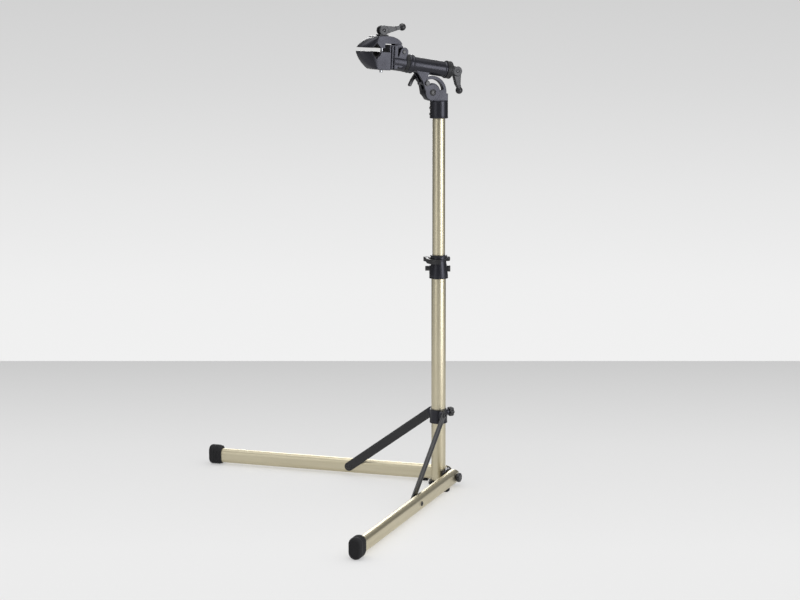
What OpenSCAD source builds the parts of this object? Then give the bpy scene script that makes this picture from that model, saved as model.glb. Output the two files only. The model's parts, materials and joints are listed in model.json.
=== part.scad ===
// Folding bicycle repair stand: a two-legged base with braces, a telescopic
// mast, a tilting head and a rotating two-jaw clamp with cam levers.
// Frame: origin on the floor under the mast axis, -X to the front, +Z up.

/* [Stance] */
// Angle of each leg away from straight ahead, seen from above
leg_spread = 43; // [35:1:50]
// Sideways distance from the mast axis to each leg's centre line
leg_offset = 40; // [38:0.5:48]
// Clear height of the legs above the floor
floor_gap = 5; // [3:0.5:10]

/* [Mast] */
// Outer diameter of the lower tube
lower_od = 40; // [38:0.5:44]
// Wall of the lower tube
lower_wall = 1.6; // [1.2:0.1:1.8]
// Outer diameter of the upper tube
upper_od = 35; // [30:0.5:35]
// Wall of the upper tube
upper_wall = 2; // [1.2:0.1:3]
// Height of the lower tube's top end
lower_top = 600; // [480:5:760]
// Length of the upper tube that stays inside the lower tube
upper_overlap = 170; // [130:5:260]
// Height of the head socket's lower edge
head_z = 1033; // [850:1:1300]

/* [Legs] */
// Height of the oval leg tube
leg_h = 42; // [34:1:50]
// Width of the oval leg tube
leg_w = 26; // [20:1:30]
// Wall of the leg tube
leg_wall = 2; // [1.2:0.2:3]
// Distance from the leg pivot to the tube's front end
leg_reach = 705; // [560:5:860]
// Height of the foot cap
cap_h = 57; // [52:1:70]
// Width of the foot cap
cap_w = 36; // [32:1:44]
// Length of the foot cap
cap_len = 38; // [30:1:60]

/* [Braces] */
// Width of the flat brace bar
brace_w = 26; // [18:1:32]
// Thickness of the flat brace bar
brace_t = 4; // [3:0.5:5]
// Distance from the leg pivot to the brace's lower pivot
brace_reach = 280; // [230:5:330]
// Height of the collar's ear pivots
ear_z = 209; // [180:1:250]

/* [Fold collar] */
// Height of the sliding collar
collar_h = 39; // [30:1:50]
// Outer diameter of the sliding collar
collar_od = 49; // [47:0.5:56]
// Diameter of the collar's hand knob
knob_d = 27; // [24:1:40]

/* [Height clamp] */
// Height of the clamp casting
clamp_h = 65; // [56:1:80]
// Diameter of the clamp casting's upper ring
clamp_top_d = 46; // [45:0.5:52]
// Diameter of the clamp casting's lower edge
clamp_low_d = 51.5; // [51:0.5:60]
// Turn of the clamp about the mast
clamp_turn = -27; // [-90:1:90]

/* [Head] */
// Height of the socket that holds the upper tube
socket_h = 47; // [40:1:70]
// Outer diameter of the socket
socket_od = 49; // [45:0.5:60]
// Distance of the tilt pivot in front of the mast axis
pivot_front = 25; // [20:1:28]
// Height of the tilt pivot above the socket's lower edge
pivot_rise = 71; // [70:1:90]
// Radius of the head's slotted plate
plate_r = 44.5; // [42:0.5:45]
// Thickness of the head's slotted plate
plate_t = 16; // [12:1:20]

/* [Arm] */
// Angle by which the arm rises to the front
arm_tilt = 9; // [0:1:15]
// Outer diameter of the arm tube
arm_od = 42; // [38:1:42]
// Distance from the tilt pivot to the arm's axis
arm_rise = 67; // [67:1:80]
// Length of the arm tube between its two end rings
arm_len = 101; // [80:1:130]
// Diameter of the clamp axle
axle_d = 16; // [12:1:20]

/* [Jaws] */
// Overall width of the jaws
jaw_w = 62; // [50:1:80]
// Length of the jaws in front of the clamp rod
jaw_nose = 74; // [66:1:90]
// Height of the upper jaw above the split line
jaw_up = 37; // [34:1:46]
// Depth of the lower jaw below the split line
jaw_down = 53; // [50:1:60]
// Gap between the closed jaws
jaw_gap = 9.4; // [6:0.2:14]
// Radius of the round groove in the lower pad
groove_r = 9.5; // [8:0.25:11]
// Wall of the lower pad beside its groove
pad_wall = 2; // [1.5:0.25:3]

/* [Hidden] */
$fn = 64;
// Radial running clearance of a shaft in its bore
run = 0.05;
// Gap between faces of pieces that move past each other
gap = 0.3;

leg_z = floor_gap + leg_h / 2;
leg_in = leg_offset - leg_w / 2;
leg_out = leg_offset + leg_w / 2;
leg_pivot_x = -5;
leg_tip_x = leg_pivot_x + leg_reach;
leg_bolt_r = 5;
bush_r = 7;
pivot_cap_r = 13;
brace_foot_x = leg_pivot_x + brace_reach;
brace_y = leg_in - gap - brace_t;
brace_bolt_r = 4;
under_foot_x = 52;
under_foot_l = 20;
cap_front = 11;
cap_step = 6;

bracket_top = floor_gap + leg_h;
bracket_wall = 6;
ring_h = 11;
foot_t = 4;
lower_r = lower_od / 2;
screw_head_r = 4.6;
screw_seat = lower_r + bracket_wall - 0.4;
lower_in = lower_r - lower_wall;
upper_r = upper_od / 2;
upper_in = upper_r - upper_wall;
upper_low = lower_top - upper_overlap;
upper_top = head_z + socket_h - 8;

collar_r = collar_od / 2;
liner_t = 1.6;
ear_x = 25;
ear_r = 13;
ear_t = 8;
collar_top = ear_z + 12;
collar_low = collar_top - collar_h;
knob_x = 31;
knob_len = 15;
knob_screw_r = 4;

clamp_z = lower_top - 8;
lug_y = 33;
lug_half = 18;
lug_t = 11;
slit = 3;
cam_seat = 25;
pinch_from = -26;
pinch_to = 21.6;
skewer_z = clamp_z + 0.75 * clamp_h;
pinch_z = clamp_z + 0.34 * clamp_h;
skewer_r = 3;
cam_x = -cam_seat - 9;
lever_gap = 4;

pivot_z = head_z + pivot_rise;
slot_r = plate_r - 14;
slot_half = 5.2;
slot_from = 12;
slot_to = 134;
tilt_pin_r = 6;
tilt_bolt_r = 4;
bolt_angle = 134;
fin_t = 6;
fin_in = plate_t / 2 + gap;
fin_out = fin_in + fin_t;
fin_r = 22;

arm_r = arm_od / 2;
arm_wall = 3;
ring_r = arm_r + 4;
ring_len = 16;
arm_front = -0.67 * arm_len;
arm_back = arm_front + arm_len;
bearing_len = 10;
axle_r = axle_d / 2;
hub_front = arm_front - ring_len - bearing_len - gap;
saddle_back = arm_back + ring_len + 6;
cam_r = 13;
cam_s = saddle_back + cam_r;
cam_pin_r = 4;
eye_half = 5;
cam_half = 11;
ball_r = 10;

jaw_reach = 162.4;
jaw_lift = 24.7;
jaw_cant = 6.2;
split = jaw_gap / 2;
notch_x = -28.5;
notch_half = groove_r + pad_wall;
groove_z = -split - 2.8;
notch_up = 18;
notch_down = 25;
jaw_back = 14;
hub_r = 24;
hub_len = 36;
hinge_x = 57;
hinge_z = -3;
hinge_r = 5;
hinge_ear_r = 12;
hinge_half = 12;
rod_r = 4;
rod_tip = jaw_down + 7;
rod_slot = 19;
underside = 17;
seat_z = jaw_up - 0.6;
saddle_z = seat_z + gap;
top_cam_z = seat_z + gap + cam_r + 2;

// ---- shared shapes ----

// Upright oval with round ends, width w and height h, centred
module oval(w, h) {
    square([w, h - w], center = true);
    for (s = [-1, 1])
        translate([0, s * (h - w) / 2]) circle(d = w);
}

// Oval bar along +X from x0 to x1, centred on y and z
module oval_bar(x0, x1, y, z, w, h) {
    translate([x0, y, z]) rotate([90, 0, 90]) linear_extrude(x1 - x0) oval(w, h);
}

// Cylinder along X
module x_rod(x0, x1, r) {
    translate([x0, 0, 0]) rotate([0, 90, 0]) cylinder(r = r, h = x1 - x0);
}

// Cylinder along Y at the point (x, z)
module y_rod(x, z, y0, y1, r) {
    translate([x, y0, z]) rotate([-90, 0, 0]) cylinder(r = r, h = y1 - y0);
}

// Ring about Z
module ring(z0, z1, r_out, r_in) {
    translate([0, 0, z0]) difference() {
        cylinder(r = r_out, h = z1 - z0);
        translate([0, 0, -1]) cylinder(r = r_in, h = z1 - z0 + 2);
    }
}

// Flat link of two circles; its sides run a hair inside the common tangents
module link(p1, r1, p2, r2) {
    a = atan2(p2[1] - p1[1], p2[0] - p1[0]);
    b = acos((r1 - r2) / norm(p2 - p1));
    back = 8;
    inside = 0.985;
    polygon([for (k = [[p1, r1, b + back], [p2, r2, b - back],
                       [p2, r2, back - b], [p1, r1, -b - back]])
        k[0] + inside * k[1] * [cos(a + k[2]), sin(a + k[2])]]);
    translate(p1) circle(r = r1);
    translate(p2) circle(r = r2);
}

// Ball end of a lever with two small moulded flats facing along Y
module lever_ball(r) {
    intersection() {
        rotate([90, 0, 0]) sphere(r = r);
        cube([3 * r, 2 * r - 1, 3 * r], center = true);
    }
}

// Extrudes an outline drawn in X and Z between two Y values
module plate(y0, y1) {
    translate([0, y1, 0]) rotate([90, 0, 0]) linear_extrude(y1 - y0) children();
}

// Points of a quarter or half ellipse
function arc_points(cx, cz, a, b, from, to, step = 6) =
    [for (t = [from : step : to]) [cx + a * cos(t), cz + b * sin(t)]];

// ---- frames ----

// Left leg's frame: X forward along the leg, Y outward, origin under the mast
module left() {
    rotate([0, 0, 180 + leg_spread]) children();
}

module right() {
    mirror([0, 1, 0]) left() children();
}

// Tilt pivot
module pivot_frame() {
    translate([-pivot_front, 0, pivot_z]) children();
}

// Arm frame: X to the rear along the arm's axis, origin above the tilt pivot
module arm_frame() {
    pivot_frame() rotate([0, arm_tilt, 0]) translate([0, 0, arm_rise]) children();
}

// Jaw frame: origin where the clamp rod crosses the split line
module jaw_frame() {
    arm_frame() translate([-jaw_reach, 0, jaw_lift]) rotate([0, -jaw_cant, 0]) children();
}

// Tilt bolt's place in the arm frame
module bolt_frame() {
    arm_frame() translate([slot_r * cos(bolt_angle), 0, slot_r * sin(bolt_angle) - arm_rise])
        rotate([0, -arm_tilt, 0]) children();
}

// ---- base ----

module base_cheek() {
    translate([-24, lower_r + 0.6, foot_t + 1])
        cube([50, leg_in - gap - lower_r - 0.6, bracket_top - foot_t - 2.5]);
}

module base_bracket() {
    color("#26262a") difference() {
        union() {
            translate([0, 0, foot_t]) cylinder(r = lower_r + bracket_wall, h = ring_h);
            intersection() {
                translate([0, 0, foot_t + 2])
                    cylinder(r = lower_r + bracket_wall, h = bracket_top - foot_t - 2);
                translate([2, -60, 0]) cube(120);
            }
            left() base_cheek();
            right() base_cheek();
        }
        translate([0, 0, -1]) cylinder(r = lower_r, h = bracket_top + 2);
        left() y_rod(leg_pivot_x, leg_z, lower_r - 8, leg_in + 1, leg_bolt_r);
        right() y_rod(leg_pivot_x, leg_z, lower_r - 8, leg_in + 1, leg_bolt_r);
        mast_screw_places() {
            x_rod(-lower_r - 9, 0, 3);
            x_rod(-screw_seat - 24, -screw_seat, screw_head_r + 0.3);
        }
    }
}

// One screw in front through the ring, one behind through the back wall
module mast_screw_places() {
    for (k = [[foot_t + ring_h / 2, 0], [bracket_top - 12, 180]])
        translate([0, 0, k[0]]) rotate([0, 0, k[1]]) children();
}

module mast_foot() {
    color("#1b1b1d") union() {
        cylinder(r = lower_r + 3, h = foot_t);
        cylinder(r = lower_in, h = 30);
    }
}

module lower_mast() {
    color("#b3a683") difference() {
        ring(foot_t, lower_top, lower_r, lower_in);
        mast_screw_places() x_rod(-lower_r - 9, 0, 3);
    }
}

module mast_screws() {
    color("#2a2a2d") mast_screw_places() {
        x_rod(-screw_seat - 4, -screw_seat, screw_head_r);
        x_rod(-screw_seat - 1, -lower_in, 3);
    }
}

module leg_pivot_bolt() {
    y_rod(leg_pivot_x, leg_z, leg_out + gap, leg_out + gap + 3, 10);
    y_rod(leg_pivot_x, leg_z, leg_out + gap + 2, leg_out + gap + 12, pivot_cap_r);
    y_rod(leg_pivot_x, leg_z, lower_r + 1.5, leg_out + gap + 1, leg_bolt_r);
}

module leg_pivot_bolts() {
    color("#2a2a2d") {
        left() leg_pivot_bolt();
        right() leg_pivot_bolt();
    }
}

// ---- legs ----

module leg() {
    end_r = leg_h / 2;
    difference() {
        intersection() {
            oval_bar(leg_pivot_x - end_r, leg_tip_x, leg_offset, leg_z, leg_w, leg_h);
            union() {
                y_rod(leg_pivot_x, leg_z, leg_in - 1, leg_out + 1, end_r);
                translate([leg_pivot_x, leg_in - 1, 0]) cube([leg_reach + 1, leg_w + 2, leg_h + 20]);
            }
        }
        oval_bar(leg_pivot_x - end_r - 1, leg_tip_x + 1, leg_offset, leg_z,
                 leg_w - 2 * leg_wall, leg_h - 2 * leg_wall);
        y_rod(leg_pivot_x, leg_z, leg_in - 1, leg_out + 1, bush_r);
        y_rod(brace_foot_x, leg_z, leg_in - 1, leg_out + 1, brace_bolt_r);
    }
}

module foot_cap() {
    back = leg_tip_x + cap_front - cap_len;
    z = cap_h / 2;
    difference() {
        union() {
            oval_bar(back, back + cap_step, leg_offset, z, cap_w - 3, cap_h - 4);
            oval_bar(back + cap_step, back + cap_len - cap_step, leg_offset, z, cap_w, cap_h);
            oval_bar(back + cap_len - cap_step, back + cap_len, leg_offset, z, cap_w - 6, cap_h - 7);
        }
        oval_bar(back - 1, leg_tip_x, leg_offset, leg_z, leg_w, leg_h);
    }
}

module rear_plug() {
    end_r = leg_h / 2;
    difference() {
        intersection() {
            oval_bar(leg_pivot_x - end_r, leg_pivot_x - bush_r - 2, leg_offset, leg_z,
                     leg_w - 2 * leg_wall, leg_h - 2 * leg_wall);
            y_rod(leg_pivot_x, leg_z, leg_in - 1, leg_out + 1, end_r);
        }
        y_rod(leg_pivot_x, leg_z, leg_in - 1, leg_out + 1, bush_r + 1);
    }
}

module under_foot() {
    difference() {
        translate([under_foot_x - under_foot_l / 2, leg_offset - 9, 0])
            cube([under_foot_l, 18, floor_gap + 6]);
        oval_bar(0, 2 * under_foot_x, leg_offset, leg_z, leg_w, leg_h);
    }
}

module pivot_bush() {
    difference() {
        y_rod(leg_pivot_x, leg_z, leg_in, leg_out, bush_r);
        y_rod(leg_pivot_x, leg_z, leg_in - 1, leg_out + 1, leg_bolt_r + run);
    }
}

module brace_bolt() {
    y_rod(brace_foot_x, leg_z, leg_out, leg_out + 3, 6.5);
    y_rod(brace_foot_x, leg_z, leg_in, leg_out + 1, brace_bolt_r);
}

module left_leg() { color("#b3a683") left() leg(); }
module left_foot_cap() { color("#1d1d1f") left() foot_cap(); }
module left_rear_plug() { color("#1d1d1f") left() rear_plug(); }
module left_under_foot() { color("#1d1d1f") left() under_foot(); }
module left_pivot_bush() { color("#3a3a3c") left() pivot_bush(); }
module left_brace_bolt() { color("#3a3a3c") left() brace_bolt(); }
module right_leg() { color("#b3a683") right() leg(); }
module right_foot_cap() { color("#1d1d1f") right() foot_cap(); }
module right_rear_plug() { color("#1d1d1f") right() rear_plug(); }
module right_under_foot() { color("#1d1d1f") right() under_foot(); }
module right_pivot_bush() { color("#3a3a3c") right() pivot_bush(); }
module right_brace_bolt() { color("#3a3a3c") right() brace_bolt(); }

// ---- fold collar and braces ----

module collar_ear() {
    difference() {
        plate(brace_y - gap - ear_t, brace_y - gap) union() {
            translate([0, ear_z - ear_r]) square([ear_x, 2 * ear_r]);
            translate([ear_x, ear_z]) circle(r = ear_r);
        }
        y_rod(ear_x, ear_z, 0, leg_in, brace_bolt_r);
    }
}

module fold_collar() {
    color("#26262a") difference() {
        union() {
            translate([0, 0, collar_low]) cylinder(r = collar_r, h = collar_h);
            left() collar_ear();
            right() collar_ear();
            translate([0, 0, ear_z]) x_rod(0, knob_x - gap, 9);
        }
        translate([0, 0, collar_low - 30]) cylinder(r = lower_r + liner_t, h = collar_h + 60);
        translate([0, 0, ear_z]) x_rod(0, knob_x + 1, knob_screw_r + run);
    }
}

module collar_liner() {
    color("#3f3f42") difference() {
        ring(collar_low + 1, collar_top - 1, lower_r + liner_t, lower_r + run);
        translate([0, 0, ear_z]) x_rod(0, knob_x, knob_screw_r + 0.5);
    }
}

module ear_bolt() {
    y_rod(ear_x, ear_z, brace_y - gap - ear_t, leg_in - gap / 2, brace_bolt_r);
    y_rod(ear_x, ear_z, leg_in, leg_in + 3, 8);
    y_rod(ear_x, ear_z, leg_in - 1, leg_in + 1, brace_bolt_r);
}

module ear_bolts() {
    color("#2a2a2d") {
        left() ear_bolt();
        right() ear_bolt();
    }
}

module collar_screw() {
    color("#3a3a3c") translate([0, 0, ear_z])
        x_rod(lower_r + 0.5, knob_x + knob_len - 4, knob_screw_r);
}

module collar_knob() {
    knob_r = knob_d / 2;
    color("#202022") translate([knob_x, 0, ear_z]) difference() {
        x_rod(0, knob_len, knob_r);
        x_rod(-1, knob_len - 4, knob_screw_r);
        for (k = [0 : 5])
            rotate([60 * k, 0, 0]) translate([4, 0, knob_r + 3]) x_rod(0, knob_len, 6);
    }
}

module brace() {
    difference() {
        plate(brace_y, brace_y + brace_t)
            hull() {
                translate([ear_x, ear_z]) circle(r = brace_w / 2);
                translate([brace_foot_x, leg_z]) circle(r = brace_w / 2);
            }
        y_rod(ear_x, ear_z, 0, leg_out, brace_bolt_r + run);
        y_rod(brace_foot_x, leg_z, 0, leg_out, brace_bolt_r);
    }
}

module brace_rivet() {
    y_rod(brace_foot_x, leg_z, brace_y - 3, brace_y, 7.5);
    y_rod(brace_foot_x, leg_z, brace_y - 1, brace_y + brace_t, brace_bolt_r);
}

module left_brace() { color("#2b2a2c") left() brace(); }
module left_brace_rivet() { color("#2a2a2d") left() brace_rivet(); }
module right_brace() { color("#2b2a2c") right() brace(); }
module right_brace_rivet() { color("#2a2a2d") right() brace_rivet(); }

// ---- height clamp ----

module clamp_frame() {
    rotate([0, 0, clamp_turn]) children();
}

module clamp_lug(x0, x1, z0, z1) {
    translate([x0, 0, z0]) cube([x1 - x0, lug_y + lug_t / 2, z1 - z0]);
}

module height_clamp() {
    ring_z = clamp_z + clamp_h - 11;
    neck_r = clamp_top_d / 2 - 2;
    color("#26262a") clamp_frame() difference() {
        union() {
            rotate_extrude() polygon([[0, clamp_z], [clamp_low_d / 2, clamp_z],
                [clamp_low_d / 2, clamp_z + 9], [neck_r + 1.6, ring_z - 20],
                [neck_r, ring_z - 8], [neck_r, ring_z], [clamp_top_d / 2, ring_z + 1],
                [clamp_top_d / 2, clamp_z + clamp_h], [0, clamp_z + clamp_h]]);
            clamp_lug(pinch_from, pinch_to, pinch_z - 12, pinch_z + 12);
            clamp_lug(-cam_seat, lug_half, skewer_z - 8, skewer_z + 8);
        }
        translate([0, 0, clamp_z - 1]) cylinder(r = lower_r, h = lower_top - clamp_z + 1);
        translate([0, 0, clamp_z - 1]) cylinder(r = upper_r + gap, h = clamp_h + 2);
        translate([0, 0, lower_top - 1]) cylinder(r = lower_r, h = 3.3);
        translate([-slit / 2, upper_r - 2, clamp_z - 1]) cube([slit, lug_y, clamp_h + 2]);
        translate([0, lug_y, skewer_z]) x_rod(-cam_seat - 1, lug_half + 1, skewer_r);
        translate([0, lug_y, pinch_z]) x_rod(pinch_from - 1, pinch_to + 1, skewer_r);
    }
}

module clamp_skewer() {
    color("#3a3a3c") clamp_frame() translate([0, lug_y, skewer_z]) {
        difference() {
            x_rod(cam_x, lug_half + 12, skewer_r);
            translate([cam_x, 0, -10]) cylinder(r = 3, h = 20);
        }
        translate([cam_x, 0, -7]) cylinder(r = 3, h = 14);
    }
}

module skewer_nut() {
    color("#2a2a2d") clamp_frame() translate([0, lug_y, skewer_z]) difference() {
        x_rod(lug_half, lug_half + 14, 6.5);
        x_rod(lug_half - 1, lug_half + 12, skewer_r);
    }
}

module pinch_bolt() {
    color("#2a2a2d") clamp_frame() translate([0, lug_y, pinch_z]) {
        x_rod(pinch_from - 11.5, pinch_from, 7);
        x_rod(pinch_from - 1, pinch_to + 1, skewer_r);
        translate([pinch_to, -8, -8.5]) cube([11, 16, 17]);
    }
}

module height_lever() {
    band_in = clamp_top_d / 2 + lever_gap;
    cam_y = lug_y;
    color("#202022") clamp_frame() translate([0, 0, skewer_z - 6.5]) difference() {
        union() {
            translate([cam_x, cam_y, 0]) cylinder(r = 8.5, h = 13);
            translate([0, 0, 0.5]) linear_extrude(12) link([cam_x, cam_y], 6, [-band_in - 4, 4], 2.8);
            rotate([0, 0, 166]) rotate_extrude(angle = 114)
                translate([band_in + 0.8, 0]) square([6.4, 13]);
        }
        translate([cam_x, cam_y, -1]) cylinder(r = 3 + run, h = 15);
        translate([cam_x, cam_y, 6.5 - 3.3]) linear_extrude(6.6)
            polygon([[-3.3, -3.3], [20, -3.3], [20, 18], [-10.4, 18], [-3.5, -0.6]]);
    }
}

// ---- upper mast ----

module mast_bush() {
    color("#2e2e30") union() {
        ring(lower_top - 34, lower_top + 2, lower_in - run, upper_r + run);
        ring(lower_top + gap, lower_top + 2, lower_r - gap, upper_r + run);
    }
}

module upper_mast() {
    color("#b3a683") ring(upper_low, upper_top, upper_r, upper_in);
}

module glide_plug() {
    color("#2e2e30") union() {
        translate([0, 0, upper_low - 12]) cylinder(r = lower_in - run, h = 12);
        translate([0, 0, upper_low - 1]) cylinder(r = upper_in, h = 16);
    }
}

// ---- head ----

module head_plate() {
    far = 3 * plate_r;
    foot = -pivot_rise + 6;
    difference() {
        union() {
            intersection() {
                circle(r = plate_r);
                polygon([[0, 0], far * [cos(-60), sin(-60)], far * [cos(-20), sin(-20)],
                    far * [cos(20), sin(20)], far * [cos(60), sin(60)],
                    far * [cos(100), sin(100)],
                    far * [cos(slot_to + 8), sin(slot_to + 8)]]);
            }
            circle(r = slot_r - slot_half - 2);
            translate([pivot_front - 18, foot]) square([socket_od / 2 + 18 - 0.5, -foot - 4]);
        }
        difference() {
            circle(r = slot_r + slot_half);
            circle(r = slot_r - slot_half);
            rotate(slot_to + 90) translate([0, -far]) square([far, 2 * far]);
            rotate(slot_from - 90) translate([0, -far]) square([far, 2 * far]);
        }
        circle(r = tilt_pin_r);
    }
}

module head_casting() {
    color("#5c5c66") difference() {
        union() {
            translate([0, 0, head_z]) cylinder(r = socket_od / 2, h = socket_h);
            pivot_frame() plate(-plate_t / 2, plate_t / 2) head_plate();
        }
        translate([0, 0, head_z - 1]) cylinder(r = upper_r, h = upper_top - head_z + 1);
        for (z = socket_screw_heights())
            translate([0, 0, z]) x_rod(-socket_od, 0, 2.5);
    }
}

function socket_screw_heights() = [head_z + 12, head_z + 29];

module socket_screws() {
    color("#2a2a2d") for (z = socket_screw_heights()) translate([0, 0, z]) {
        x_rod(-socket_od / 2 - 3, -socket_od / 2, 4);
        x_rod(-socket_od / 2 - 1, -upper_r, 2.5);
    }
}

module tilt_pin() {
    color("#3a3a3c") pivot_frame() {
        y_rod(0, 0, -fin_out - 1, fin_out + 1, tilt_pin_r);
        y_rod(0, 0, -fin_out - gap - 2.5, -fin_out - gap, 9);
        y_rod(0, 0, fin_out + gap, fin_out + gap + 2.5, 9);
    }
}

// ---- tilting arm ----

module arm_fin() {
    bolt = slot_r * [cos(bolt_angle), sin(bolt_angle)];
    back = arm_front + 52;
    difference() {
        union() {
            translate([0, -arm_rise]) circle(r = fin_r);
            translate([bolt[0], bolt[1] - arm_rise]) circle(r = 8.5);
            polygon([[arm_front + 6, -12], [back, -12], [bolt[0] - 5, bolt[1] - arm_rise + 8],
                [bolt[0] + 8, bolt[1] - arm_rise - 3], [-fin_r, -arm_rise],
                [bolt[0] - 14, bolt[1] - arm_rise + 3]]);
        }
        translate([0, -arm_rise]) circle(r = tilt_pin_r + run);
        translate([bolt[0], bolt[1] - arm_rise]) circle(r = tilt_bolt_r);
    }
}

module arm_casting() {
    color("#5c5c66") arm_frame() difference() {
        union() {
            x_rod(arm_front, arm_back, arm_r);
            x_rod(arm_front - ring_len, arm_front, ring_r);
            plate(-fin_out, -fin_in) arm_fin();
            plate(fin_in, fin_out) arm_fin();
        }
        x_rod(arm_front - ring_len - 1, arm_back + 1, arm_r - arm_wall);
    }
}

module front_bearing() {
    start = arm_front - ring_len - bearing_len;
    color("#1f1f21") arm_frame() difference() {
        union() {
            x_rod(start, arm_front - ring_len, ring_r - 0.5);
            x_rod(start, arm_front, arm_r - arm_wall);
        }
        x_rod(start - 1, arm_front + 1, axle_r + run);
    }
}

module rear_bearing() {
    color("#1f1f21") arm_frame() difference() {
        union() {
            x_rod(arm_back, arm_back + ring_len - gap, ring_r - 1);
            x_rod(arm_back - ring_len, arm_back + 1, arm_r - arm_wall);
        }
        x_rod(arm_back - ring_len - 1, arm_back + ring_len + 1, axle_r + run);
    }
}

module tilt_bolt() {
    color("#3a3a3c") bolt_frame() {
        y_rod(0, 0, -fin_out - 4.5, -fin_out, 7.5);
        y_rod(0, 0, -fin_out - 1, fin_out + 16, tilt_bolt_r);
    }
}

module tilt_lever() {
    y0 = fin_out + gap;
    y1 = y0 + 5;
    color("#1f1f21") bolt_frame() difference() {
        union() {
            y_rod(0, 0, y0, y1 + 9, 9);
            plate(y1, y1 + 9) {
                link([0, 0], 6.5, [3.5, -28], 5);
                link([3.5, -28], 5, [12, -36], 5);
                link([0, 0], 6.5, [-17.5, 20], 5);
                link([-17.5, 20], 5, [-27, 8], 4);
                link([-27, 8], 4, [-34, -5], 4);
            }
            translate([15.5, y1 + 4.5, -39]) lever_ball(ball_r - 2);
        }
        y_rod(0, 0, y0 - 1, y1 + 10, tilt_bolt_r + run);
    }
}

// ---- clamp: axle and rear cam ----

module clamp_axle() {
    color("#8a8b90") arm_frame() difference() {
        union() {
            x_rod(hub_front - 24, saddle_back - 2, axle_r);
            plate(-eye_half, eye_half) link([saddle_back - 4, 0], axle_r - 2, [cam_s, 0], 7);
        }
        y_rod(cam_s, 0, -cam_half, cam_half, cam_pin_r);
    }
}

module rear_saddle() {
    color("#2a2a2d") arm_frame() difference() {
        x_rod(arm_back + ring_len, saddle_back + 2.5, 14);
        x_rod(arm_back, saddle_back + 4, axle_r + 0.5);
        y_rod(cam_s, 0, -20, 20, cam_r + gap);
    }
}

module rear_cam_pin() {
    color("#3a3a3c") arm_frame() y_rod(cam_s, 0, -cam_half + 0.5, cam_half - 0.5, cam_pin_r);
}

// Cam lever lying in X and Z: hub at the pin, waist, neck and ball
module cam_lever(pin, waist, neck, tip) {
    difference() {
        union() {
            y_rod(pin[0], pin[1], -cam_half, cam_half, cam_r);
            plate(-7.5, 7.5) link(pin, cam_r - 0.6, waist, 6.5);
            plate(-6, 6) link(waist, 6.5, neck, 5.5);
            translate([tip[0], 0, tip[1]]) lever_ball(ball_r);
        }
        y_rod(pin[0], pin[1], -cam_half - 1, cam_half + 1, cam_pin_r + run);
        children();
    }
}

module rear_lever() {
    tip = [cam_s + 17, -50.3];
    color("#1f1f21") arm_frame()
        cam_lever([cam_s, 0], [cam_s + 9, -33], tip + [-3, 9], tip)
            y_rod(cam_s, 0, -eye_half - gap, eye_half + gap, cam_r + 0.6);
}

// ---- clamp: jaws ----

module jaw_plan() {
    nose = 50;
    half = jaw_w / 2;
    polygon(concat(arc_points(nose - jaw_nose, 0, nose, half, 90, 270),
        [[jaw_back + 60, -half], [jaw_back + 60, half]]));
}

module lower_profile() {
    flat = -10;
    polygon(concat([[-jaw_nose, -split]],
        arc_points(flat, -split - 4, jaw_nose + flat, jaw_down - split - 4, 180, 270),
        [[jaw_back, -jaw_down], [jaw_back, -split]]));
}

module lower_notch() {
    polygon([[notch_x - notch_half, -split], [notch_x, -notch_down],
        [notch_x + notch_half, -split], [notch_x + notch_half, 0], [notch_x - notch_half, 0]]);
    translate([notch_x, groove_z]) circle(r = notch_half);
}

module hinge_ear() {
    link([hinge_x, hinge_z], hinge_ear_r, [hinge_x - 10, hinge_z - 30], hinge_ear_r);
}

module lower_jaw() {
    neck = 22;
    color("#5c5c66") difference() {
        union() {
            jaw_frame() intersection() {
                plate(-jaw_w, jaw_w) lower_profile();
                translate([0, 0, -jaw_down - 1]) linear_extrude(jaw_down + 2) jaw_plan();
            }
            jaw_frame() translate([jaw_back - 1, -neck, -jaw_down + 4])
                cube([26, 2 * neck, jaw_down + 10]);
            jaw_frame() for (x = [jaw_back + 4, jaw_back + 12])
                translate([x, -neck - 3, -jaw_down + 2]) cube([3, 2 * neck + 6, jaw_down + 8]);
            arm_frame() x_rod(hub_front - hub_len, hub_front, hub_r);
            for (s = [0, 1]) mirror([0, s, 0])
                jaw_frame() plate(hinge_half, neck) hinge_ear();
        }
        jaw_frame() plate(-jaw_w, jaw_w) lower_notch();
        jaw_frame() translate([jaw_back + 16, -hinge_half, hinge_z - 14])
            cube([60, 2 * hinge_half, 60]);
        jaw_frame() y_rod(hinge_x, hinge_z, -jaw_w, jaw_w, hinge_r);
        jaw_frame() translate([0, 0, -jaw_down - 1]) cylinder(r = rod_r + run, h = jaw_down + 30);
        jaw_frame() y_rod(0, -jaw_down / 2, -14, 14, 8);
        arm_frame() x_rod(hub_front - 24, hub_front + 1, axle_r);
    }
}

module lower_jaw_pad() {
    pad_half = jaw_w / 2 - 2;
    color("#1b1b1d") jaw_frame() difference() {
        plate(-pad_half, pad_half) lower_notch();
        y_rod(notch_x, groove_z, -jaw_w, jaw_w, groove_r);
        translate([notch_x - groove_r, -jaw_w, groove_z]) cube([2 * groove_r, 2 * jaw_w, 20]);
        translate([-jaw_nose, -jaw_w, -split]) cube([jaw_nose, 2 * jaw_w, 20]);
    }
}

module jaw_hinge_pin() {
    color("#3a3a3c") jaw_frame() y_rod(hinge_x, hinge_z, -24, 24, hinge_r);
}

module barrel_nut() {
    color("#8a8b90") jaw_frame() difference() {
        y_rod(0, -jaw_down / 2, -14, 14, 8);
        translate([0, 0, -jaw_down]) cylinder(r = rod_r + run, h = jaw_down);
    }
}

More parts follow.
